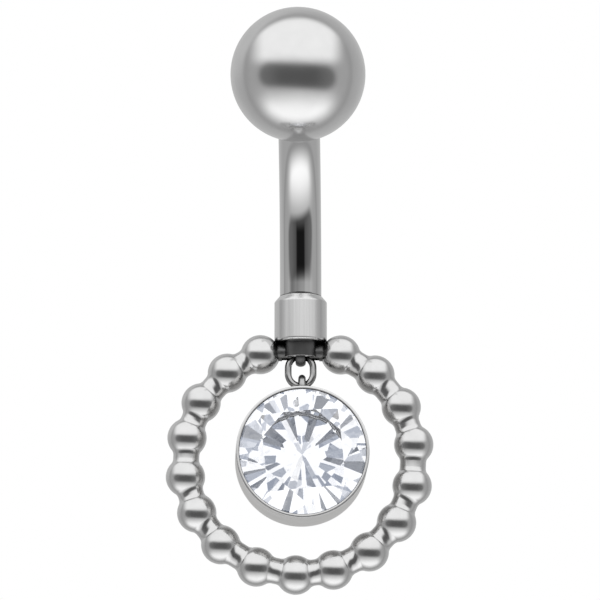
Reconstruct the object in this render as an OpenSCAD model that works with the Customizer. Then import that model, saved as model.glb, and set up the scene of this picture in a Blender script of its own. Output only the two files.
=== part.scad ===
// Navel ring: a bent bar with a round ball on top and, below, a collar that carries a hoop of fused beads.
// A round bezel with a brilliant-cut stone hangs on a jump ring inside the hoop.
// Millimetres, +Z up, -Y towards the front. The origin is the middle of the bar, where a piercing sits.

/* [Bar] */
// Diameter of the bar, 14 gauge
bar_d = 1.6; // [1.5:0.05:1.7]
// Radius of the bend, at the middle of the bar
bend_r = 8.3; // [7.5:0.1:10]
// Angle that the bar bends forward
bend_angle = 43; // [35:1:50]
// Straight length between the collar and the bend
straight_len = 0.41; // [0.2:0.01:0.8]
// Diameter of the plain post inside the ball
post_d = 1.2; // [1:0.05:1.3]
// Length of the post
post_len = 1.8; // [1.2:0.1:2.2]
// Diameter of the spigot inside the collar
spigot_d = 1.1; // [0.9:0.05:1.2]
// Length of the spigot
spigot_len = 1.1; // [0.8:0.05:1.3]

/* [Ball] */
// Diameter of the ball
ball_d = 5.15; // [4.5:0.05:6]
// Diameter of the flat that meets the bar
ball_flat_d = 1.72; // [1.7:0.02:1.9]

/* [Collar] */
// Diameter of the collar
collar_d = 2.02; // [1.98:0.02:2.2]
// Length of the collar, with its two bevels
collar_len = 1.82; // [1.7:0.02:2.2]
// Height of the sloping upper shoulder
shoulder_h = 0.23; // [0.18:0.01:0.35]
// Width and height of the small lower bevel
lower_bevel = 0.1; // [0.05:0.01:0.14]
// Diameter of the tapered neck where it meets the collar
neck_d = 1.28; // [1.24:0.02:1.4]
// Diameter of the neck at its lower end
neck_low_d = 1.14; // [1.1:0.02:1.2]

/* [Hoop] */
// Radius of the circle through the bead centres
hoop_r = 4.42; // [4.4:0.01:4.45]
// Diameter of one bead
bead_d = 1.51; // [1.48:0.01:1.51]
// Diameter of the wire that shows between two beads
waist_d = 1; // [0.94:0.02:1.04]
// Diameter of the two arms between the neck and the beads next to it
arm_d = 0.7; // [0.66:0.02:0.8]

/* [Links] */
// Wire of the hanging eye under the neck
eye_wire_d = 0.26; // [0.22:0.01:0.28]
// Wire of the jump ring
jump_wire_d = 0.26; // [0.22:0.01:0.28]
// Outside width of the oval jump ring
jump_ring_d = 1.22; // [1.18:0.02:1.26]
// Length of the jump ring's two straight sides
jump_side_len = 0.22; // [0.2:0.01:0.26]
// Wire of the bail on the bezel
bail_wire_d = 0.28; // [0.24:0.01:0.3]
// Clearance where one link hangs on the next
link_gap = 0.03; // [0.02:0.01:0.04]

/* [Pendant] */
// Outside diameter of the bezel
bezel_d = 5.1; // [5.02:0.02:5.2]
// Depth of the bezel, front to back
bezel_depth = 2.3; // [2.2:0.05:2.6]
// Turn of the pendant about its hanging line
pendant_turn = 3; // [0:1:5]
// Distance to the right at which the bail sits in the jump ring
pendant_side = 0.05; // [0:0.01:0.06]
// Girdle diameter of the stone
stone_d = 4.9; // [4.8:0.02:4.94]
// Table diameter as a share of the girdle diameter
table_share = 0.66; // [0.6:0.02:0.74]
// Slope of the crown's main facets
crown_angle = 34.5; // [32:0.5:36]
// Slope of the pavilion's main facets
pavilion_angle = 41; // [39:0.5:41.5]
// Turn of the stone in its setting
stone_turn = 28; // [0:1:45]

/* [Hidden] */
$fn = 96;

// Gap between pieces that sit on or in each other
seat_gap = 0.02;
bore_gap = 0.05;
bore_extra_len = 0.25;

// How far one shape runs into the next where both are one solid, or past a face that it cuts
join = 0.2;

// Heights are counted from the centre of the hoop until in_frame moves them
neck_low_z = 3.96;
collar_low_z = 4.54;
collar_top_z = collar_low_z + collar_len;
bend_low_z = collar_top_z + seat_gap + straight_len;
bar_end_y = -bend_r * (1 - cos(bend_angle));
bar_end_z = bend_low_z + bend_r * sin(bend_angle);
ball_flat_h = sqrt(pow(ball_d / 2, 2) - pow(ball_flat_d / 2, 2));

// The middle of the bend is the origin of the finished part
piercing_y = -bend_r * (1 - cos(bend_angle / 2));
piercing_z = bend_low_z + bend_r * sin(bend_angle / 2);

// Turn of each bead from the top, clockwise as seen from the front; beads set by hand are a little uneven.
// The whole ring of beads sits a little to the left of the bar and a little low.
bead_turns = [21, 41, 62, 82, 103, 123, 143, 163, 182, 202, 223, 243, 262, 282, 301, 321, 340];
hoop_side = -0.04;
hoop_drop = 0.045;

// The arms reach the neck at this height, and each wire starts and ends this far inside what it joins
arm_z = 4.05;
rod_inset = 0.36;

// Each link hangs on the one above it
eye_wire_z = 3.76;
eye_hole_r = 0.19;
eye_ring_r = eye_hole_r + eye_wire_d / 2;
jump_ring_r = (jump_ring_d - jump_wire_d) / 2;
jump_hole_r = jump_ring_r - jump_wire_d / 2;
jump_top_z = eye_wire_z + eye_wire_d / 2 + link_gap - jump_hole_r;
jump_low_z = jump_top_z - jump_side_len;
jump_low_wire_z = jump_low_z - jump_ring_r;
bail_hole_r = 0.2;
bail_ring_r = bail_hole_r + bail_wire_d / 2;
bail_z = jump_low_wire_z + jump_wire_d / 2 + link_gap - bail_hole_r;

// Slot under the neck, in which the top of the jump ring swings
relief_half_x = 0.72;
relief_half_y = 0.21;
relief_top_z = 4.22;
relief_low_z = 3.6;

// The pendant hangs with its bail sunk into the bezel's wall
bail_rise = 0.15;
pendant_z = bail_z - bail_rise - bezel_d / 2;
lip_cover = 0.03;
lip_depth = 0.08;
girdle_h = 0.08;
lip_inner_r = stone_d / 2 - lip_cover;
pocket_r = stone_d / 2 + seat_gap;
back_inner_r = 2.2;
girdle_top = bezel_depth / 2 - lip_depth - seat_gap;
girdle_low = girdle_top - girdle_h;
seat_drop = (pocket_r - back_inner_r) * tan(pavilion_angle);

// Facets of the stone
girdle_r = stone_d / 2;
table_r = girdle_r * table_share;
table_h = girdle_top + (girdle_r - table_r) * tan(crown_angle);
upper_girdle_angle = 41;
star_angle = 20;
lower_girdle_angle = pavilion_angle + 0.5;
blank_len = 3.2;
facet_step = 45;
cut_size = 12;

module in_frame() {
    translate([0, -piercing_y, -piercing_z]) children();
}

module at_bar_end() {
    translate([0, bar_end_y, bar_end_z]) rotate([bend_angle, 0, 0]) children();
}

module at_pendant() {
    translate([pendant_side, 0, pendant_z]) rotate([0, 0, pendant_turn]) rotate([90, 0, 0]) children();
}

module wire_ring(ring_r, wire_d) {
    rotate_extrude() translate([ring_r, 0]) circle(d = wire_d);
}

module half_wire_ring(ring_r, wire_d) {
    rotate_extrude(angle = 180) translate([ring_r, 0]) circle(d = wire_d);
}

// Straight wire between two points, whose ends stop a little inside the shapes there
module rod(start, end, d) {
    run = end - start;
    translate(start) rotate([0, atan2(run.x, run.z), 0]) translate([0, 0, rod_inset])
        cylinder(d = d, h = norm(run) - 2 * rod_inset);
}

module top_ball() {
    bore_d = post_d + 2 * bore_gap;
    bore_len = post_len + bore_extra_len;
    color("silver") in_frame() at_bar_end() translate([0, 0, seat_gap]) difference() {
        translate([0, 0, ball_flat_h]) sphere(d = ball_d);
        translate([-ball_d / 2, -ball_d / 2, -ball_d]) cube(ball_d);
        translate([0, 0, -join]) cylinder(d = bore_d, h = bore_len + join);
    }
}

module curved_bar() {
    shoulder_z = collar_top_z + seat_gap;
    color("silver") in_frame() union() {
        translate([0, 0, shoulder_z - spigot_len]) cylinder(d = spigot_d, h = spigot_len + straight_len);
        translate([0, 0, shoulder_z]) cylinder(d = bar_d, h = straight_len);
        translate([0, -bend_r, bend_low_z]) rotate([90, 0, 90])
            rotate_extrude(angle = bend_angle) translate([bend_r, 0]) circle(d = bar_d);
        at_bar_end() translate([0, 0, -join]) cylinder(d = post_d, h = post_len + join);
    }
}

// Collar and neck are turned in one piece, with a socket for the bar's spigot
module collar() {
    socket_r = spigot_d / 2 + seat_gap;
    socket_low_z = collar_top_z - spigot_len - seat_gap;
    rotate_extrude() polygon([
        [0, neck_low_z],
        [neck_low_d / 2, neck_low_z],
        [neck_d / 2, collar_low_z],
        [collar_d / 2 - lower_bevel, collar_low_z],
        [collar_d / 2, collar_low_z + lower_bevel],
        [collar_d / 2, collar_top_z - shoulder_h],
        [bar_d / 2 + seat_gap, collar_top_z],
        [socket_r, collar_top_z],
        [socket_r, socket_low_z],
        [0, socket_low_z]
    ]);
}

function bead_at(turn) = [hoop_side + hoop_r * sin(turn), 0, hoop_r * cos(turn) - hoop_drop];

// Each bead's poles face front and back, clear of the wires that run into it
module bead_chain() {
    for (turn = bead_turns)
        translate(bead_at(turn)) rotate([0, turn - 90, 0]) rotate([90, 0, 0]) sphere(d = bead_d);
    for (place = [1 : len(bead_turns) - 1])
        rod(bead_at(bead_turns[place - 1]), bead_at(bead_turns[place]), waist_d);
}

// The wire that joins the first and the last bead to the neck
module neck_arms() {
    for (turn = [bead_turns[0], bead_turns[len(bead_turns) - 1]])
        rod([0, 0, arm_z], bead_at(turn), arm_d);
}

module neck_relief() {
    translate([-relief_half_x, -relief_half_y, relief_low_z])
        cube([2 * relief_half_x, 2 * relief_half_y, relief_top_z - relief_low_z]);
}

// The part of a wire ring that shows under the neck; what would lie inside the neck is cut off
module hanging_eye() {
    cut_w = 4 * eye_ring_r;
    difference() {
        translate([0, 0, eye_wire_z + eye_ring_r]) rotate([0, 90, 0]) wire_ring(eye_ring_r, eye_wire_d);
        translate([-cut_w / 2, -cut_w / 2, relief_top_z]) cube(cut_w);
    }
}

module beaded_hoop() {
    color("silver") in_frame() union() {
        difference() {
            union() {
                collar();
                bead_chain();
                neck_arms();
            }
            neck_relief();
        }
        hanging_eye();
    }
}

module jump_ring() {
    color("silver") in_frame() union() {
        translate([0, 0, jump_top_z]) rotate([90, 0, 0]) half_wire_ring(jump_ring_r, jump_wire_d);
        translate([0, 0, jump_low_z]) rotate([-90, 0, 0]) half_wire_ring(jump_ring_r, jump_wire_d);
        for (side = [-1, 1])
            translate([side * jump_ring_r, 0, jump_low_z]) cylinder(d = jump_wire_d, h = jump_side_len);
    }
}

module bezel() {
    color("gainsboro") in_frame() {
        at_pendant() rotate_extrude() polygon([
            [lip_inner_r, bezel_depth / 2],
            [bezel_d / 2, bezel_depth / 2],
            [bezel_d / 2, -bezel_depth / 2],
            [back_inner_r, -bezel_depth / 2],
            [back_inner_r, girdle_low - seat_gap - seat_drop],
            [pocket_r, girdle_low - seat_gap],
            [pocket_r, girdle_top + seat_gap],
            [lip_inner_r, girdle_top + seat_gap]
        ]);
        translate([pendant_side, 0, bail_z]) rotate([0, 0, pendant_turn]) rotate([0, 90, 0])
            wire_ring(bail_ring_r, bail_wire_d);
    }
}

// Cuts a ring of facets into its children; each plane touches the circle of radius at_r and height at_h
module cut_facets(count, first_turn, angle, at_r, at_h, left = -1) {
    facets_left = left < 0 ? count : left;
    if (facets_left == 0) {
        children();
    } else {
        difference() {
            cut_facets(count, first_turn, angle, at_r, at_h, facets_left - 1) children();
            rotate([0, angle, first_turn + facets_left * 360 / count])
                translate([-cut_size / 2, -cut_size / 2, at_r * sin(angle) + at_h * cos(angle)])
                    cube(cut_size);
        }
    }
}

module cut_crown() {
    cut_facets(8, facet_step / 2, star_angle, table_r * cos(facet_step / 2), table_h)
        cut_facets(16, facet_step / 4, upper_girdle_angle, girdle_r, girdle_top)
            cut_facets(8, 0, crown_angle, girdle_r, girdle_top) children();
}

module cut_pavilion() {
    mirror([0, 0, 1])
        cut_facets(16, facet_step / 4, lower_girdle_angle, girdle_r, -girdle_low)
            cut_facets(8, 0, pavilion_angle, girdle_r, -girdle_low)
                mirror([0, 0, 1]) children();
}

module stone() {
    color("lightcyan") in_frame() at_pendant() rotate([0, 0, 90 + stone_turn]) cut_crown() cut_pavilion()
        translate([0, 0, table_h - blank_len]) cylinder(r = girdle_r, h = blank_len);
}

top_ball();
curved_bar();
beaded_hoop();
jump_ring();
bezel();
stone();
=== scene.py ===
import math

import bmesh
import bpy
from mathutils import Matrix, Vector


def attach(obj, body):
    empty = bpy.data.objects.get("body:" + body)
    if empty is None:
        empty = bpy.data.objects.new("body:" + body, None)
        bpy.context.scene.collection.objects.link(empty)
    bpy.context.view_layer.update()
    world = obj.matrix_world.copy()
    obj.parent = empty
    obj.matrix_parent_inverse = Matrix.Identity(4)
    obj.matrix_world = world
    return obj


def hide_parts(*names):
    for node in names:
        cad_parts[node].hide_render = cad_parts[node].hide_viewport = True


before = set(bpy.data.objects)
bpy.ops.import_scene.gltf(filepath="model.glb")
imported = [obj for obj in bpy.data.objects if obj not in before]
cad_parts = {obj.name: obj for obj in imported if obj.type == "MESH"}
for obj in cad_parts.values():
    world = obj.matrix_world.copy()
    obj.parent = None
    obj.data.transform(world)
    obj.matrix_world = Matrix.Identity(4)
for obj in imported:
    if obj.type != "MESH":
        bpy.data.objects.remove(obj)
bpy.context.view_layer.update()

mm = 0.001
hoopCentre = Vector((0, 0.577534, -9.83196))  # mm; the pieces are made in mm about this point
scene = bpy.context.scene


def startFresh():
    if bpy.context.object and bpy.context.object.mode != "OBJECT":
        bpy.ops.object.mode_set(mode="OBJECT")
    bpy.ops.object.select_all(action="DESELECT")


def pickPiece(piece):
    startFresh()
    piece.select_set(True)
    bpy.context.view_layer.objects.active = piece


def keepPlace(name):
    # names the new primitive, and puts its place and turn into its mesh
    piece = bpy.context.object
    piece.name = piece.data.name = name
    bpy.ops.object.transform_apply(location=True, rotation=True, scale=True)
    return piece


def editPiece(piece):
    pickPiece(piece)
    bpy.ops.object.mode_set(mode="EDIT")
    bpy.ops.mesh.select_mode(type="VERT")
    bpy.ops.mesh.select_all(action="SELECT")


def pickWhere(piece, test):
    bpy.ops.mesh.select_all(action="DESELECT")
    edit = bmesh.from_edit_mesh(piece.data)
    for v in edit.verts:
        v.select = bool(test(v.co))
    edit.select_flush(True)
    bmesh.update_edit_mesh(piece.data)


def tidyShell(mergeDistance=0.0005):
    bpy.ops.mesh.select_mode(type="VERT")
    bpy.ops.mesh.select_all(action="SELECT")
    bpy.ops.mesh.remove_doubles(threshold=mergeDistance)
    bpy.ops.mesh.normals_make_consistent(inside=False)
    bpy.ops.object.mode_set(mode="OBJECT")


def cutFlat(at, normal, keep="below", threshold=1e-5):
    # cuts what is selected along a plane, keeps the side below or above it as its normal points, and closes the cut
    bpy.ops.mesh.bisect(plane_co=at, plane_no=normal, clear_outer=keep == "below", clear_inner=keep == "above",
                        use_fill=True, threshold=threshold)


def growRings(profile, along=Vector((0, 0, 1)), base=Vector((0, 0, 0))):
    # carries the selected ring through (radius, height) steps on a straight axis
    for (rA, hA), (rB, hB) in zip(profile, profile[1:]):
        bpy.ops.mesh.extrude_region_move(TRANSFORM_OT_translate={"value": along * (hB - hA)})
        if abs(rB - rA) > 1e-9:
            bpy.ops.transform.resize(value=(rB / rA,) * 3, center_override=base + along * hB)


def turnedPiece(name, profile, sides, fill="NGON"):
    # a piece turned on the lathe, from its (radius, height) steps
    startFresh()
    firstR, firstH = profile[0]
    bpy.ops.mesh.primitive_circle_add(vertices=sides, radius=firstR, fill_type=fill, location=(0, 0, firstH))
    piece = keepPlace(name)
    editPiece(piece)
    growRings(profile)
    tidyShell()
    return piece


def wireLoop(name, loop, turn, sides=24, steps=72, joint=0.5):
    # a round wire bent to a ring, with its butt joint at the top; turn stands it as it will hang
    startFresh()
    bpy.ops.mesh.primitive_circle_add(vertices=sides, radius=loop["wireR"], fill_type="NGON",
                                      location=(0, 0, loop["ringR"]), rotation=(0, math.radians(90), 0))
    ring = keepPlace(name)
    editPiece(ring)
    bpy.ops.mesh.spin(steps=steps, angle=math.radians(360 - joint), center=(0, 0, 0), axis=(0, 1, 0))
    tidyShell(mergeDistance=0.0001)
    moveTo(ring, turn=turn, at=(loop.get("side", 0), 0, loop["z"]))
    return ring


def applyModifier(piece, kind, **settings):
    pickPiece(piece)
    modifier = piece.modifiers.new(kind.lower(), kind)
    for key, value in settings.items():
        setattr(modifier, key, value)
    bpy.ops.object.modifier_apply(modifier=modifier.name)


def roundEdges(piece, width, segments=2, sharperThan=60):
    applyModifier(piece, "BEVEL", width=width, segments=segments,
                  limit_method="ANGLE", angle_limit=math.radians(sharperThan))


def copyOf(piece):
    pickPiece(piece)
    bpy.ops.object.duplicate(linked=False)
    return bpy.context.object


def takeIn(piece, *others):
    startFresh()
    for o in others:
        o.select_set(True)
    piece.select_set(True)
    bpy.context.view_layer.objects.active = piece
    bpy.ops.object.join()
    return piece


def moveTo(piece, turn=(0, 0, 0), at=(0, 0, 0), scale=1):
    pickPiece(piece)
    piece.rotation_euler = [math.radians(a) for a in turn]
    piece.location = at
    piece.scale = (scale,) * 3
    bpy.ops.object.transform_apply(location=True, rotation=True, scale=True)


def settle(piece, smoothAngle=32):
    # from millimetres about the hoop's centre to the frame's metres
    moveTo(piece, at=hoopCentre * mm, scale=mm)
    if smoothAngle:
        bpy.ops.object.shade_smooth_by_angle(angle=math.radians(smoothAngle))
    piece.select_set(False)


def linear(hexColour):
    parts = [int(hexColour[i:i + 2], 16) / 255 for i in (1, 3, 5)]
    return [c / 12.92 if c <= 0.04045 else ((c + 0.055) / 1.055) ** 2.4 for c in parts] + [1]


def addNode(tree, kind, inputs=None, **settings):
    node = tree.nodes.new(kind)
    for key, value in settings.items():
        setattr(node, key, value)
    for key, value in (inputs or {}).items():
        if isinstance(value, bpy.types.NodeSocket):
            tree.links.new(value, node.inputs[key])
        else:
            node.inputs[key].default_value = value
    return node


# the camera has a long lens, and stands a little below the piece and a touch to its right
shot = {
    "azimuth": 1.5, "elevation": -11.5,  # degrees
    "distance": 200, "aimAcross": -0.025, "aimHeight": 6.25,  # mm
    "pxPerMm": 25.92, "photoPx": 600, "sensorMm": 36,
}

az, el = math.radians(shot["azimuth"]), math.radians(shot["elevation"])
camBack = Vector((math.sin(az) * math.cos(el), -math.cos(az) * math.cos(el), math.sin(el)))
camRight = Vector((math.cos(az), math.sin(az), 0))
camUp = camBack.cross(camRight)
aim = (hoopCentre + Vector((shot["aimAcross"], 0, shot["aimHeight"]))) * mm
cameraData = bpy.data.cameras.new("longLens")
cameraData.sensor_width = shot["sensorMm"]
cameraData.lens = shot["sensorMm"] * shot["pxPerMm"] * shot["distance"] / shot["photoPx"]
cameraData.clip_start, cameraData.clip_end = 0.001, 20
camera = bpy.data.objects.new("longLens", cameraData)
scene.collection.objects.link(camera)
cameraTurn = Matrix((camRight, camUp, camBack)).transposed().to_4x4()
camera.matrix_world = Matrix.Translation(aim + camBack * shot["distance"] * mm) @ cameraTurn
scene.camera = camera
scene.view_settings.view_transform = "Standard"
scene.cycles.max_bounces = 32  # light bounces many times inside the stone
scene.cycles.glossy_bounces = 24
scene.cycles.transmission_bounces = 24
print("camera ready")


# The studio is painted in the places where a mirror ball would show it: across is X, up is Y, and the
# ball's edge is 1. Two big soft lights stand above and below a dark slot that the lens looks through.
studio = {
    "behindLeft": 0.74, "behindRight": 0.52, "evenFrom": 0.6, "evenTo": 0.05,
    "wall": 0.50, "wallEdge": 0.42, "tentHalf": (0.79, 0.865), "upperLight": 1.30, "lowerLight": 1.50,
    "slotMiddle": 0.115, "slotEnds": 0.19, "slotHalf": (0.565, 0.18), "slotAt": (-0.01, -0.04),
    "slotTilt": 3.3, "slotCorner": 0.17, "slotSoft": 0.05,
    "lens": 0.012, "barStretchAbove": -0.25, "barStretchBelow": 0.7,
    "stoneLight": 1.25, "stoneFaint": 0.80, "stoneShade": 0.55, "stoneLens": 0.24, "stoneCool": "#d6dff0",
}
softEdges = {  # each goes from 0 to 1 between two places on the ball
    "upperFoot": ("Y", 0.08, 0.27), "upperTop": ("rim", 0.85, 0.78),
    "upperLeft": ("X", -0.76, -0.46), "upperRight": ("X", 0.70, 0.46),
    "lowerHead": ("Y", -0.13, -0.61), "lowerFoot": ("rim", 0.84, 0.62),
    "lowerLeft": ("X", -0.72, -0.36), "lowerRight": ("X", 0.75, 0.34),
    "lensHead": ("Y", 0.18, 0.08), "lensFoot": ("Y", -0.22, -0.08),
    "lensLeft": ("X", -0.25, -0.15), "lensRight": ("X", 0.25, 0.15),
    "slotFade": ("side", 0.20, 0.50), "slope": ("slope", -1.4, -0.5),
    "tent": ("tent", 0.99, 1.05), "tentEdge": ("tent", 0.90, 1.0),
    "stoneBand": ("side", 0.075, 0.045), "stoneNear": ("rim", 0.40, 0.34), "stoneLens": ("rim", 0.095, 0.075),
    "stoneFaintIn": ("rim", 0.44, 0.47), "stoneFaintOut": ("rim", 0.58, 0.54),
}

world = bpy.data.worlds.new("softStudio")
scene.world = world
world.use_nodes = True
sky = world.node_tree
sky.nodes.clear()
direction = addNode(sky, "ShaderNodeTexCoord").outputs["Generated"]
acrossDot, upDot, frontDot = [
    addNode(sky, "ShaderNodeVectorMath", {0: direction, 1: axis}, operation="DOT_PRODUCT").outputs["Value"]
    for axis in (camRight, camUp, camBack)
]
frontOne = addNode(sky, "ShaderNodeMath", {0: frontDot, 1: 1.0}, operation="ADD").outputs[0]
turned = addNode(sky, "ShaderNodeCombineXYZ", {0: acrossDot, 1: upDot, 2: frontOne})
# half-way between a direction and the lens lies the place on the mirror ball that shows it
halfWay = addNode(sky, "ShaderNodeVectorMath", {0: turned.outputs[0]}, operation="NORMALIZE")
spot = addNode(sky, "ShaderNodeSeparateXYZ", {0: halfWay.outputs[0]})
spotX = spot.outputs["X"]

# only the polished bar is smooth enough to throw a sharp ray; for it both lights stand a little higher,
# and it shows the lens itself
rays = addNode(sky, "ShaderNodeLightPath")
isAbove = addNode(sky, "ShaderNodeMath", {0: spot.outputs["Y"], 1: 0.0}, operation="GREATER_THAN")
stretch = addNode(sky, "ShaderNodeMix", {
    0: isAbove.outputs[0], 2: studio["barStretchBelow"], 3: studio["barStretchAbove"]})
barStretch = addNode(sky, "ShaderNodeMath", {
    0: stretch.outputs[0], 1: rays.outputs["Is Singular Ray"]}, operation="MULTIPLY")
spotY = addNode(sky, "ShaderNodeMath", {
    0: barStretch.outputs[0], 1: spot.outputs["Y"], 2: spot.outputs["Y"]}, operation="MULTIPLY_ADD").outputs[0]

flat = addNode(sky, "ShaderNodeCombineXYZ", {0: spotX, 1: spotY}).outputs[0]
tentShare = (1 / studio["tentHalf"][0], 1 / studio["tentHalf"][1], 0)
squeezed = addNode(sky, "ShaderNodeVectorMath", {0: flat, 1: tentShare}, operation="MULTIPLY")
places = {
    "X": spotX, "Y": spotY,
    "rim": addNode(sky, "ShaderNodeVectorMath", {0: flat}, operation="LENGTH").outputs["Value"],
    "side": addNode(sky, "ShaderNodeMath", {0: spotX}, operation="ABSOLUTE").outputs[0],
    "slope": addNode(sky, "ShaderNodeMath", {0: spotX, 1: spotY}, operation="SUBTRACT").outputs[0],
    "tent": addNode(sky, "ShaderNodeVectorMath", {0: squeezed.outputs[0]}, operation="LENGTH").outputs["Value"],
}
soft = {"sharp": rays.outputs["Is Singular Ray"]}
for name, (place, start, end) in softEdges.items():
    edge = addNode(sky, "ShaderNodeMapRange", {"Value": places[place], "From Min": start, "From Max": end},
                   label=name, interpolation_type="SMOOTHSTEP")
    soft[name] = edge.outputs[0]

# the slot is a box with round corners, turned a little
slotIn = [half - studio["slotCorner"] for half in studio["slotHalf"]] + [0]
slotFrom = addNode(sky, "ShaderNodeMapping", {
    "Vector": flat, "Location": (*studio["slotAt"], 0),
    "Rotation": (0, 0, math.radians(-studio["slotTilt"]))}, vector_type="TEXTURE")
slotAbs = addNode(sky, "ShaderNodeVectorMath", {0: slotFrom.outputs[0]}, operation="ABSOLUTE")
slotOver = addNode(sky, "ShaderNodeVectorMath", {0: slotAbs.outputs[0], 1: slotIn}, operation="SUBTRACT")
slotClip = addNode(sky, "ShaderNodeVectorMath", {0: slotOver.outputs[0], 1: (0, 0, 0)}, operation="MAXIMUM")
slotAway = addNode(sky, "ShaderNodeVectorMath", {0: slotClip.outputs[0]}, operation="LENGTH")
slotEdge = addNode(sky, "ShaderNodeMapRange", {
    "Value": slotAway.outputs["Value"], "From Min": studio["slotCorner"] + studio["slotSoft"],
    "From Max": studio["slotCorner"] - studio["slotSoft"]}, interpolation_type="SMOOTHSTEP")
soft["slot"] = slotEdge.outputs[0]


def paintOver(glow, layers):
    # lays each tone over the glow where all of its soft edges are 1
    for tone, edges in layers:
        mask = soft[edges[0]]
        for edge in edges[1:]:
            mask = addNode(sky, "ShaderNodeMath", {0: mask, 1: soft[edge]}, operation="MULTIPLY").outputs[0]
        glow = addNode(sky, "ShaderNodeMix", {0: mask, 2: glow, 3: tone}).outputs[0]
    return glow


# what lies behind the piece is lighter to the left and above, and straight behind it the two tones meet evenly
even = addNode(sky, "ShaderNodeMapRange", {
    "Value": frontOne, "From Min": studio["evenFrom"], "From Max": studio["evenTo"]})
evenSlope = addNode(sky, "ShaderNodeMix", {0: even.outputs[0], 2: soft["slope"], 3: 0.5})
behind = addNode(sky, "ShaderNodeMix", {
    0: evenSlope.outputs[0], 2: studio["behindLeft"], 3: studio["behindRight"]}).outputs[0]
# the tent's wall stands in front of that
tentWall = addNode(sky, "ShaderNodeMix", {0: soft["tentEdge"], 2: studio["wall"], 3: studio["wallEdge"]})
glow = addNode(sky, "ShaderNodeMix", {0: soft["tent"], 2: tentWall.outputs[0], 3: behind}).outputs[0]
slotTone = addNode(sky, "ShaderNodeMix", {0: soft["slotFade"], 2: studio["slotMiddle"], 3: studio["slotEnds"]})
glow = paintOver(glow, [
    (studio["upperLight"], ["upperFoot", "upperLeft", "upperRight", "upperTop"]),
    (studio["lowerLight"], ["lowerHead", "lowerLeft", "lowerRight", "lowerFoot"]),
    (slotTone.outputs[0], ["slot"]),
    (studio["lens"], ["lensLeft", "lensRight", "lensHead", "lensFoot", "sharp"]),
])

# light that leaves the stone meets white paper all round, with a faint grey ring, a narrow shade and the
# lens near the camera; what is shaded is a little cool
stoneGlow = paintOver(studio["stoneLight"], [
    (studio["stoneFaint"], ["stoneFaintIn", "stoneFaintOut"]),
    (studio["stoneShade"], ["stoneBand", "stoneNear"]),
    (studio["stoneLens"], ["stoneLens", "stoneNear"]),
])
fromStone = rays.outputs["Is Transmission Ray"]
glow = addNode(sky, "ShaderNodeMix", {0: fromStone, 2: glow, 3: stoneGlow}).outputs[0]
shaded = addNode(sky, "ShaderNodeMapRange", {
    "Value": stoneGlow, "From Min": studio["stoneShade"], "From Max": 1.0, "To Min": 1.0, "To Max": 0.0})
coolPart = addNode(sky, "ShaderNodeMath", {0: shaded.outputs[0], 1: fromStone}, operation="MULTIPLY")
tint = addNode(sky, "ShaderNodeMix", {
    0: coolPart.outputs[0], 6: (1, 1, 1, 1), 7: linear(studio["stoneCool"])}, data_type="RGBA")
whiteBehind = addNode(sky, "ShaderNodeMix", {0: rays.outputs["Is Camera Ray"], 2: glow, 3: 1.0})
lamp = addNode(sky, "ShaderNodeBackground", {"Color": tint.outputs[2], "Strength": whiteBehind.outputs[0]})
addNode(sky, "ShaderNodeOutputWorld", {"Surface": lamp.outputs[0]})

floorSize = {"width": 3, "drop": 0.12}  # metres
startFresh()
bpy.ops.mesh.primitive_plane_add(size=floorSize["width"], location=(0, 0, -floorSize["drop"]))
floor = keepPlace("paleFloor")
for rayKind in ("visible_glossy", "visible_transmission", "visible_diffuse", "visible_shadow"):
    setattr(floor, rayKind, False)
print("studio ready")


def newMaterial(name):
    # patterns are laid on Object coordinates, which are in metres
    material = bpy.data.materials.new(name)
    material.use_nodes = True
    material.node_tree.nodes.clear()
    place = addNode(material.node_tree, "ShaderNodeTexCoord").outputs["Object"]
    return material, material.node_tree, place


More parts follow.
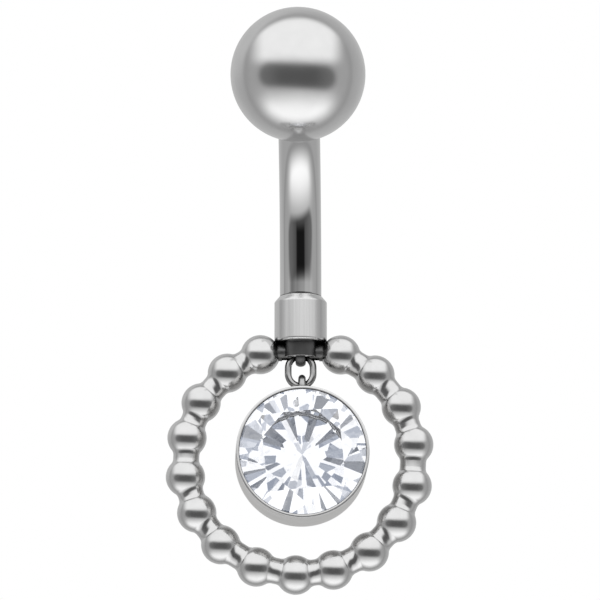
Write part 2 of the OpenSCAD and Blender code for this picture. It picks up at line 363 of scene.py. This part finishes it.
def makeSteel(name, look):
    # tone and roughness vary in patches or along fine lines, painted shade darkens corners, and the skin has some
    # relief;
    # linesMm is the size of a line along x, y and z
    steel, tree, place = newMaterial(name)
    if "linesMm" in look:
        lineScale = [1 / (size * mm) for size in look["linesMm"]]
        fine = addNode(tree, "ShaderNodeMapping", {"Vector": place, "Scale": lineScale})
        pattern = addNode(tree, "ShaderNodeTexNoise", {
            "Vector": fine.outputs[0], "Scale": 1.0, "Detail": 3}).outputs[0]
    else:
        pattern = addNode(tree, "ShaderNodeTexNoise", {
            "Vector": place, "Scale": 1 / (look["patchMm"] * mm), "Detail": look["patchDetail"]}).outputs[0]
    tone = addNode(tree, "ShaderNodeMix", {
        0: pattern, 6: linear(look["light"]), 7: linear(look["deep"])}, data_type="RGBA")
    # painted shade: where ambient occlusion finds corners and creases closed in, the tone goes dark towards the
    # paintedShade colour
    if "paintedShade" in look:
        openness = addNode(tree, "ShaderNodeAmbientOcclusion", {"Distance": look["paintedShadeMm"] * mm}, samples=8)
        outOfShade = addNode(tree, "ShaderNodeMapRange", {
            "Value": openness.outputs["AO"], "From Min": look["paintedShadeFrom"], "From Max": look["paintedShadeTo"]},
            interpolation_type="SMOOTHSTEP")
        tone = addNode(tree, "ShaderNodeMix", {
            0: outOfShade.outputs[0], 6: linear(look["paintedShade"]), 7: tone.outputs[2]}, data_type="RGBA")
    inputs = {"Base Color": tone.outputs[2], "Metallic": 1.0}
    if "rough" in look:
        inputs["Roughness"] = look["rough"]
    else:
        inputs["Roughness"] = addNode(tree, "ShaderNodeMapRange", {
            "Value": pattern, "From Min": 0.3, "From Max": 0.7,  # nearly all of a noise lies between these
            "To Min": look["roughLow"], "To Max": look["roughHigh"]}).outputs[0]
    # painted shade on the rims: a black edge tint darkens the steel's glancing reflections
    if "rimShadeTint" in look:
        inputs["Specular Tint"] = linear(look["rimShadeTint"])
    relief = pattern
    if "reliefMm" in look:
        relief = addNode(tree, "ShaderNodeTexNoise", {
            "Vector": place, "Scale": 1 / (look["reliefMm"] * mm), "Detail": look["reliefDetail"]}).outputs[0]
    if "heightMm" in look:
        inputs["Normal"] = addNode(tree, "ShaderNodeBump", {
            "Strength": 1.0, "Distance": look["heightMm"] * mm, "Height": relief}).outputs[0]
    shader = addNode(tree, "ShaderNodeBsdfPrincipled", inputs)
    addNode(tree, "ShaderNodeOutputMaterial", {"Surface": shader.outputs[0]})
    return steel


# Surgical steel, polished: the bar is a true mirror, so that it slides through skin, with only a trace of a wave
polishedSteel = makeSteel("polishedSurgicalSteel", {
    "light": "#d6d6d6", "deep": "#cfcfcf", "patchMm": 1.2, "patchDetail": 2, "rough": 0.0,
    "reliefMm": 0.8, "reliefDetail": 1, "heightMm": 0.0004,
})
# Surgical steel, buffed: a soft mirror with the faint waviness that a buffing wheel leaves
buffedSteel = makeSteel("buffedSurgicalSteel", {
    "light": "#d6d6d6", "deep": "#cccccc", "patchMm": 0.9, "patchDetail": 2, "roughLow": 0.17, "roughHigh": 0.21,
    "reliefMm": 0.35, "reliefDetail": 1, "heightMm": 0.0004,
})
# Surgical steel, tumbled: cast beads brightened in a drum keep a softer, slightly uneven mirror, with painted shade
# in the corners between them
tumbledSteel = makeSteel("tumbledSurgicalSteel", {
    "light": "#d4d4d4", "deep": "#c8c8c8", "patchMm": 0.5, "patchDetail": 3, "roughLow": 0.17, "roughHigh": 0.22,
    "paintedShade": "#242424", "paintedShadeMm": 0.4, "paintedShadeFrom": 0.52, "paintedShadeTo": 0.88,
    "reliefMm": 0.3, "reliefDetail": 2, "heightMm": 0.0008,
})
# Surgical steel wire, drawn bright and left unbuffed; painted shade darkens its rims, through a black edge tint,
# and its tight bends
wireSteel = makeSteel("drawnWireSurgicalSteel", {
    "light": "#bebebe", "deep": "#a2a2a2", "patchMm": 0.3, "patchDetail": 3, "roughLow": 0.14, "roughHigh": 0.22,
    "paintedShade": "#1c1c1c", "paintedShadeMm": 0.3, "paintedShadeFrom": 0.4, "paintedShadeTo": 0.8, "rimShadeTint": "#000000",
})
# Surgical steel with painted shade: the neck and its arms lie deep under the collar, so their steel is coloured
# dark for that shade, and left matt
paintedShadeSteel = makeSteel("surgicalSteelPaintedShade", {
    "light": "#8d8d8d", "deep": "#6f6f6f", "patchMm": 0.4, "patchDetail": 3, "roughLow": 0.3, "roughHigh": 0.42,
    "paintedShade": "#161616", "paintedShadeMm": 0.5, "paintedShadeFrom": 0.48, "paintedShadeTo": 0.92,
    "reliefMm": 0.06, "reliefDetail": 2, "heightMm": 0.002,
})
# Surgical steel, drawn: faint lines run down the collar; the real 0.02 mm ones are too fine to show, so these
# are 0.08 mm wide
drawnSteel = makeSteel("drawnSurgicalSteel", {
    "light": "#dadada", "deep": "#cccccc", "linesMm": (0.08, 0.08, 4.0), "roughLow": 0.18, "roughHigh": 0.23,
    "heightMm": 0.0004,
})
# Surgical steel, satin turned: fine lines run round the bezel's wall; the real 0.02 mm ones are too fine to
# show, so these are 0.09 mm wide
satinSteel = makeSteel("satinSurgicalSteel", {
    "light": "#dddcdb", "deep": "#c9c8c6", "linesMm": (2.5, 0.09, 2.5), "roughLow": 0.26, "roughHigh": 0.36,
    "heightMm": 0.0012,
})

# Cubic zirconia, polished: clear and hard, with a faint cool body colour that differs a little from zone to zone
zirconia = {
    "clear": "#ffffff", "cool": "#f3f6ff", "zoneMm": 1.1, "ior": 2.15,
    "frost": "#eef0f4", "gritMm": 0.05, "frostLow": 0.3, "frostHigh": 0.55,
}

clearZirconia, tree, place = newMaterial("cutCubicZirconia")
zones = addNode(tree, "ShaderNodeTexNoise", {"Vector": place, "Scale": 1 / (zirconia["zoneMm"] * mm), "Detail": 1})
tone = addNode(tree, "ShaderNodeMix", {
    0: zones.outputs[0], 6: linear(zirconia["clear"]), 7: linear(zirconia["cool"])}, data_type="RGBA")
shader = addNode(tree, "ShaderNodeBsdfPrincipled", {
    "Base Color": tone.outputs[2], "Metallic": 0.0, "Roughness": 0.0, "IOR": zirconia["ior"],
    "Transmission Weight": 1.0})
addNode(tree, "ShaderNodeOutputMaterial", {"Surface": shader.outputs[0]})

# Cubic zirconia, bruted: the frosted band of the girdle, left matt by the grinding wheel
frostedZirconia, tree, place = newMaterial("brutedCubicZirconia")
grit = addNode(tree, "ShaderNodeTexNoise", {"Vector": place, "Scale": 1 / (zirconia["gritMm"] * mm), "Detail": 1})
rough = addNode(tree, "ShaderNodeMapRange", {
    "Value": grit.outputs[0], "To Min": zirconia["frostLow"], "To Max": zirconia["frostHigh"]})
shader = addNode(tree, "ShaderNodeBsdfPrincipled", {
    "Base Color": linear(zirconia["frost"]), "Roughness": rough.outputs[0], "IOR": zirconia["ior"],
    "Transmission Weight": 1.0})
addNode(tree, "ShaderNodeOutputMaterial", {"Surface": shader.outputs[0]})

# White studio paper: flat and matt, with a trace of fibre
whitePaper = {"light": "#fbfbfa", "deep": "#f6f6f5", "fibreMm": 2.0, "rough": 0.9, "shine": 0.1}

paper, tree, place = newMaterial("studioPaper")
fibre = addNode(tree, "ShaderNodeTexNoise", {
    "Vector": place, "Scale": 1 / (whitePaper["fibreMm"] * mm), "Detail": 2})
tone = addNode(tree, "ShaderNodeMix", {
    0: fibre.outputs[0], 6: linear(whitePaper["light"]), 7: linear(whitePaper["deep"])}, data_type="RGBA")
shader = addNode(tree, "ShaderNodeBsdfPrincipled", {
    "Base Color": tone.outputs[2], "Roughness": whitePaper["rough"], "Specular IOR Level": whitePaper["shine"]})
addNode(tree, "ShaderNodeOutputMaterial", {"Surface": shader.outputs[0]})
floor.data.materials.append(paper)
print("materials ready")


# the collar and its neck are turned in one piece, with a socket above for the bar
collar = {
    "lowZ": 4.54, "length": 1.82, "r": 1.01, "shoulder": 0.23, "lowBevel": 0.06, "seatR": 0.82,
    "socketR": 0.57, "socketDeep": 1.12, "neckR": 0.70, "neckLowR": 0.66, "neckLowZ": 3.96,
    "edgeRound": 0.015, "nearEdge": 0.06, "margin": 0.03, "sides": 96,
}
collarTop = collar["lowZ"] + collar["length"]
wallLow = collar["lowZ"] + collar["lowBevel"]
wallTop = collarTop - collar["shoulder"]
hoop = turnedPiece("steelHoop", [
    (collar["neckLowR"], collar["neckLowZ"]), (collar["neckR"], collar["lowZ"]),
    (collar["r"] - collar["lowBevel"], collar["lowZ"]), (collar["r"], wallLow),
    (collar["r"], wallLow + collar["nearEdge"]), (collar["r"], wallTop - collar["nearEdge"]),
    (collar["r"], wallTop), (collar["seatR"], collarTop),
    (collar["socketR"], collarTop), (collar["socketR"], collarTop - collar["socketDeep"]),
], collar["sides"])
roundEdges(hoop, collar["edgeRound"], segments=3, sharperThan=25)
for steel in (paintedShadeSteel, drawnSteel, tumbledSteel):
    hoop.data.materials.append(steel)
# painted shade: the neck and its arms get the dark painted-shade steel, the collar gets the drawn steel, and the
# neck's bottom edge gets the plain tumbled steel
for face in hoop.data.polygons:
    onCollar = Vector(face.center.xy).length > collar["neckR"] + collar["margin"]
    onNeckEdge = face.center.z < collar["neckLowZ"] + collar["margin"]
    face.material_index = 1 if onCollar else 2 if onNeckEdge else 0

# the beads are set by hand, so their turns from the top are a little uneven
beads = {
    "ringR": 4.42, "side": -0.04, "drop": 0.045, "r": 0.755, "sides": 72, "rings": 48,
    "waistR": 0.5, "filletR": 0.34, "halfWaist": 0.7675, "waistSides": 48,
    "flareSteps": 8, "flareGap": 0.003, "sunk": 0.004, "sunkTurn": 4, "tail": 0.12,
    "turns": [21, 41, 62, 82, 103, 123, 143, 163, 182, 202, 223, 243, 262, 282, 301, 321, 340],
}
beadAt = []
for turn in beads["turns"]:
    x, z = beads["ringR"] * math.sin(math.radians(turn)), beads["ringR"] * math.cos(math.radians(turn))
    beadAt.append(Vector((beads["side"] + x, 0, z - beads["drop"])))
startFresh()
bpy.ops.mesh.primitive_uv_sphere_add(segments=beads["sides"], ring_count=beads["rings"], radius=beads["r"],
                                     rotation=(0, math.radians(90), 0))
bead = keepPlace("bead")


def flareToBead(wireR, filletR):
    # (radius, distance from the bead's centre) steps that round a wire into the bead and end just under its skin
    skin = beads["r"] - beads["flareGap"]
    arcAt = math.sqrt((skin + filletR) ** 2 - (wireR + filletR) ** 2)
    touch = math.asin(arcAt / (skin + filletR))
    arc = [touch * i / beads["flareSteps"] for i in range(beads["flareSteps"] + 1)]
    steps = [(wireR + filletR * (1 - math.cos(a)), arcAt - filletR * math.sin(a)) for a in arc]
    sunk = skin - beads["sunk"]
    under = touch - math.radians(beads["sunkTurn"])
    return steps + [(sunk * math.cos(under), sunk * math.sin(under)), (wireR, steps[-1][1] - beads["tail"])]


def leanOf(run):
    return math.degrees(math.atan2(run.x, run.z))


# one waist, then a copy between each two beads, made longer or shorter in its straight middle
halfWaist = beads["halfWaist"]
flare = flareToBead(beads["waistR"], beads["filletR"])
profile = [(r, away - halfWaist) for r, away in reversed(flare)] + [(r, halfWaist - away) for r, away in flare]
waist = turnedPiece("waist", profile, beads["waistSides"])
chain = []
for at in beadAt:
    chain.append(copyOf(bead))
    moveTo(chain[-1], turn=(0, leanOf(at), 0), at=at)
for start, end in zip(beadAt, beadAt[1:]):
    run = end - start
    chain.append(copyOf(waist))
    for way in (1, -1):
        editPiece(chain[-1])
        pickWhere(chain[-1], lambda co: co.z * way > 0)
        bpy.ops.transform.translate(value=(0, 0, way * (run.length / 2 - halfWaist)))
        bpy.ops.object.mode_set(mode="OBJECT")
    moveTo(chain[-1], turn=(0, leanOf(run), 0), at=(start + end) / 2)
bpy.data.objects.remove(bead)
bpy.data.objects.remove(waist)
beadChain = takeIn(*chain)
beadChain.name = "beadChain"
beadChain.data.materials.append(tumbledSteel)
print("bead chain:", len(beadChain.data.polygons), "faces")

# two short arms run from the neck to the beads beside it, a touch above their centres
arms = {"r": 0.35, "filletR": 0.12, "z": 4.2, "inset": 0.36, "rise": 0.1, "sides": 64}
neckEnd = Vector((0, 0, arms["z"]))
for at in (beadAt[0], beadAt[-1]):
    run = at + Vector((0, 0, arms["rise"])) - neckEnd
    profile = [(arms["r"], arms["inset"])]
    profile += [(r, run.length - away) for r, away in flareToBead(arms["r"], arms["filletR"])]
    arm = turnedPiece("arm", profile, arms["sides"])
    moveTo(arm, turn=(0, leanOf(run), 0), at=neckEnd)
    applyModifier(hoop, "BOOLEAN", operation="UNION", object=arm, solver="EXACT")
    bpy.data.objects.remove(arm)

# the eye under the neck, a bent wire whose ends are set in the metal
eye = {"ringR": 0.32, "wireR": 0.13, "z": 4.08, "cutZ": 4.18, "widen": 1.5}
hangingEye = wireLoop("hangingEye", eye, turn=(0, 0, 90))
editPiece(hangingEye)
cutFlat((0, 0, eye["cutZ"]), (0, 0, 1), "below")
bpy.ops.mesh.select_all(action="SELECT")
bpy.ops.transform.resize(value=(eye["widen"], 1, 1), center_override=(0, 0, eye["z"]))
tidyShell(mergeDistance=0.0001)
# painted shade: the eye under the neck gets the dark painted-shade steel
hangingEye.data.materials.append(paintedShadeSteel)

# room under the neck for the jump ring
relief = {"halfX": 0.72, "halfY": 0.21, "lowZ": 3.6, "topZ": 4.22}
startFresh()
bpy.ops.mesh.primitive_cube_add(
    size=1, location=(0, 0, (relief["lowZ"] + relief["topZ"]) / 2),
    scale=(2 * relief["halfX"], 2 * relief["halfY"], relief["topZ"] - relief["lowZ"]))
reliefCutter = keepPlace("reliefCutter")
applyModifier(hoop, "BOOLEAN", operation="DIFFERENCE", object=reliefCutter, solver="EXACT")
bpy.data.objects.remove(reliefCutter)
takeIn(hoop, beadChain, hangingEye)
settle(hoop)
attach(hoop, "barbell")
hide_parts("beaded_hoop")
print("hoop ready")


# the bar bends forward from the collar, with a spigot below and a post above
bar = {
    "r": 0.8, "bendR": 8.3, "bendAngle": 43, "straight": 0.41, "seatGap": 0.02, "nearShoulder": 0.05,
    "spigotR": 0.55, "spigot": 1.1, "postR": 0.6, "post": 1.8, "edgeRound": 0.01, "sides": 96, "bendSteps": 64,
}
shoulderZ = collarTop + bar["seatGap"]
bendLowZ = shoulderZ + bar["straight"]
bend = math.radians(bar["bendAngle"])
barEnd = Vector((0, -bar["bendR"] * (1 - math.cos(bend)), bendLowZ + bar["bendR"] * math.sin(bend)))
barUp = Vector((0, -math.sin(bend), math.cos(bend)))

startFresh()
bpy.ops.mesh.primitive_circle_add(vertices=bar["sides"], radius=bar["spigotR"], fill_type="NGON",
                                  location=(0, 0, shoulderZ - bar["spigot"]))
bentBar = keepPlace("bentBar")
editPiece(bentBar)
growRings([
    (bar["spigotR"], shoulderZ - bar["spigot"]), (bar["spigotR"], shoulderZ), (bar["r"], shoulderZ),
    (bar["r"], shoulderZ + bar["nearShoulder"]), (bar["r"], bendLowZ),
])
bpy.ops.mesh.spin(steps=bar["bendSteps"], angle=-bend, center=(0, -bar["bendR"], bendLowZ), axis=(1, 0, 0))
growRings([(bar["r"], 0), (bar["postR"], 0), (bar["postR"], bar["post"])], along=barUp, base=barEnd)
tidyShell()
roundEdges(bentBar, bar["edgeRound"])
settle(bentBar)
bentBar.data.materials.append(polishedSteel)
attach(bentBar, "barbell")
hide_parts("curved_bar")
print("bar ready")


# the ball has a small flat below and a blind bore for the post
ball = {"r": 2.575, "flatR": 0.86, "boreR": 0.65, "boreDeep": 2.05, "edgeRound": 0.02, "sides": 128, "rings": 96}
flatH = math.sqrt(ball["r"] ** 2 - ball["flatR"] ** 2)
startFresh()
bpy.ops.mesh.primitive_uv_sphere_add(segments=ball["sides"], ring_count=ball["rings"], radius=ball["r"],
                                     location=(0, 0, flatH))
topBall = keepPlace("screwBall")
editPiece(topBall)
cutFlat((0, 0, 0), (0, 0, 1), "above")
pickWhere(topBall, lambda co: co.z < 1e-4)
growRings([(ball["flatR"], 0), (ball["boreR"], 0), (ball["boreR"], ball["boreDeep"])])
tidyShell()
roundEdges(topBall, ball["edgeRound"])
moveTo(topBall, turn=(bar["bendAngle"], 0, 0), at=barEnd + barUp * bar["seatGap"])
settle(topBall)
topBall.data.materials.append(buffedSteel)
topBall.visible_glossy = False  # it would put a dark dot on each bead, which the broad light washes out
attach(topBall, "ball")
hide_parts("top_ball")
print("ball ready")


# the jump ring is a wire bent to an oval, with its butt joint at the top
jump = {
    "ringR": 0.48, "wireR": 0.13, "topZ": 3.57, "side": 0.22, "joint": 1.2, "edgeRound": 0.012,
    "sides": 24, "quarterSteps": 18,
}
startFresh()
bpy.ops.mesh.primitive_circle_add(vertices=jump["sides"], radius=jump["wireR"], fill_type="NGON",
                                  location=(0, 0, jump["topZ"] + jump["ringR"]), rotation=(0, math.radians(90), 0))
jumpRing = keepPlace("wireJumpRing")
editPiece(jumpRing)
upperMiddle, lowerMiddle = (0, 0, jump["topZ"]), (0, 0, jump["topZ"] - jump["side"])
bpy.ops.mesh.spin(steps=jump["quarterSteps"], angle=math.radians(-90), center=upperMiddle, axis=(0, 1, 0))
growRings([(jump["wireR"], 0), (jump["wireR"], jump["side"])], along=Vector((0, 0, -1)))
bpy.ops.mesh.spin(steps=2 * jump["quarterSteps"], angle=math.radians(-180), center=lowerMiddle, axis=(0, 1, 0))
growRings([(jump["wireR"], 0), (jump["wireR"], jump["side"])])
bpy.ops.mesh.spin(steps=jump["quarterSteps"], angle=math.radians(jump["joint"] - 90), center=upperMiddle,
                  axis=(0, 1, 0))
tidyShell(mergeDistance=0.0001)
roundEdges(jumpRing, jump["edgeRound"])
settle(jumpRing)
jumpRing.data.materials.append(wireSteel)
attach(jumpRing, "link")
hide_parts("jump_ring")
print("jump ring ready")


# the bezel is an open cup with a thin rolled lip in front, a seat for the stone and a bail on top
bezel = {
    "r": 2.55, "half": 1.15, "lipR": 2.42, "pocketR": 2.47, "backR": 2.2, "pocketTop": 1.07, "seatTop": 0.95,
    "seatLow": 0.7153, "nearEdge": 0.1, "lipDeep": 0.09, "insideR": 2.717, "margin": 0.01,
    "edgeRound": 0.035, "sides": 160, "side": 0.05, "z": 0.13, "turn": 3,
}
cup = turnedPiece("bezelCup", [
    (bezel["lipR"], bezel["half"]), (bezel["r"], bezel["half"]), (bezel["r"], bezel["half"] - bezel["nearEdge"]),
    (bezel["r"], bezel["nearEdge"] - bezel["half"]), (bezel["r"], -bezel["half"]), (bezel["backR"], -bezel["half"]),
    (bezel["backR"], bezel["seatLow"]), (bezel["pocketR"], bezel["seatTop"]),
    (bezel["pocketR"], bezel["pocketTop"]), (bezel["lipR"], bezel["pocketTop"]), (bezel["lipR"], bezel["half"]),
], bezel["sides"], "NOTHING")
roundEdges(cup, bezel["edgeRound"], segments=3)
moveTo(cup, turn=(90, 0, bezel["turn"]), at=(bezel["side"], 0, bezel["z"]))

bail = {"ringR": 0.34, "wireR": 0.14, "side": bezel["side"], "z": 2.83, "cutZ": 2.6}
bailLoop = wireLoop("bailLoop", bail, turn=(0, 180, 90 + bezel["turn"]))
editPiece(bailLoop)
cutFlat((0, 0, bail["cutZ"]), (0, 0, 1), "above")
tidyShell(mergeDistance=0.0001)
takeIn(cup, bailLoop)
settle(cup)
for steel in (satinSteel, buffedSteel, wireSteel, paintedShadeSteel):
    cup.data.materials.append(steel)
frontOfCup = Vector((math.sin(math.radians(bezel["turn"])), -math.cos(math.radians(bezel["turn"])), 0))
cupMiddle = (hoopCentre + Vector((bezel["side"], 0, bezel["z"]))) * mm
for face in cup.data.polygons:
    fromMiddle = face.center - cupMiddle
    forward = fromMiddle.dot(frontOfCup)
    outward = (fromMiddle - frontOfCup * forward).length
    onLip = forward > (bezel["half"] - bezel["lipDeep"]) * mm
    onShadowLine = onLip and outward < (bezel["lipR"] + bezel["edgeRound"]) * mm  # painted shadow: the lip's inner edge, beside the stone, gets the dark painted-shade steel
    onBail = fromMiddle.z > (bezel["r"] + bezel["margin"]) * mm
    inside = fromMiddle.length < bezel["insideR"] * mm and fromMiddle.dot(face.normal) < 0
    face.material_index = 2 if onBail else 3 if onShadowLine else 1 if onLip or inside else 0
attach(cup, "pendant")
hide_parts("bezel")
print("bezel ready")


# the stone is a round brilliant, cut facet by facet from a cylinder
stone = {
    "r": 2.45, "girdleTop": 1.05, "girdleLow": 0.97, "tableShare": 0.66, "crown": 34.5, "upperGirdle": 41,
    "star": 20, "pavilion": 41, "lowerGirdle": 41.15, "turn": 28, "blank": 3.2, "blankSides": 96,
    "girdleLean": 0.05,
}
tableR = stone["r"] * stone["tableShare"]
tableZ = stone["girdleTop"] + (stone["r"] - tableR) * math.tan(math.radians(stone["crown"]))
startFresh()
bpy.ops.mesh.primitive_cylinder_add(vertices=stone["blankSides"], radius=stone["r"], depth=stone["blank"],
                                    location=(0, 0, tableZ - stone["blank"] / 2))
brilliant = keepPlace("cutStone")
editPiece(brilliant)
cuts = [  # count, first turn, angle, radius and height that the plane touches, side
    (8, 22.5, stone["star"], tableR * math.cos(math.radians(22.5)), tableZ, 1),
    (16, 11.25, stone["upperGirdle"], stone["r"], stone["girdleTop"], 1),
    (8, 0, stone["crown"], stone["r"], stone["girdleTop"], 1),
    (16, 11.25, stone["lowerGirdle"], stone["r"], -stone["girdleLow"], -1),
    (8, 0, stone["pavilion"], stone["r"], -stone["girdleLow"], -1),
]
for count, firstTurn, angle, atR, atH, sideUp in cuts:
    lean = math.radians(angle)
    reach = atR * math.sin(lean) + atH * math.cos(lean)
    for i in range(count):
        around = math.radians(firstTurn + i * 360 / count)
        normal = Vector((math.sin(lean) * math.cos(around), math.sin(lean) * math.sin(around),
                         sideUp * math.cos(lean)))
        bpy.ops.mesh.select_all(action="SELECT")
        cutFlat(normal * reach, normal, "below", threshold=1e-6)
tidyShell(mergeDistance=0.0002)
print("stone:", len(brilliant.data.polygons), "faces")
moveTo(brilliant, turn=(0, 0, 90 + stone["turn"]))
moveTo(brilliant, turn=(90, 0, bezel["turn"]), at=(bezel["side"], 0, bezel["z"]))
settle(brilliant, smoothAngle=0)
brilliant.data.materials.append(clearZirconia)
brilliant.data.materials.append(frostedZirconia)
for face in brilliant.data.polygons:
    onGirdle = abs(face.normal.dot(frontOfCup)) < stone["girdleLean"]
    face.material_index = 1 if onGirdle else 0
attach(brilliant, "pendant")
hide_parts("stone")
print("stone ready")
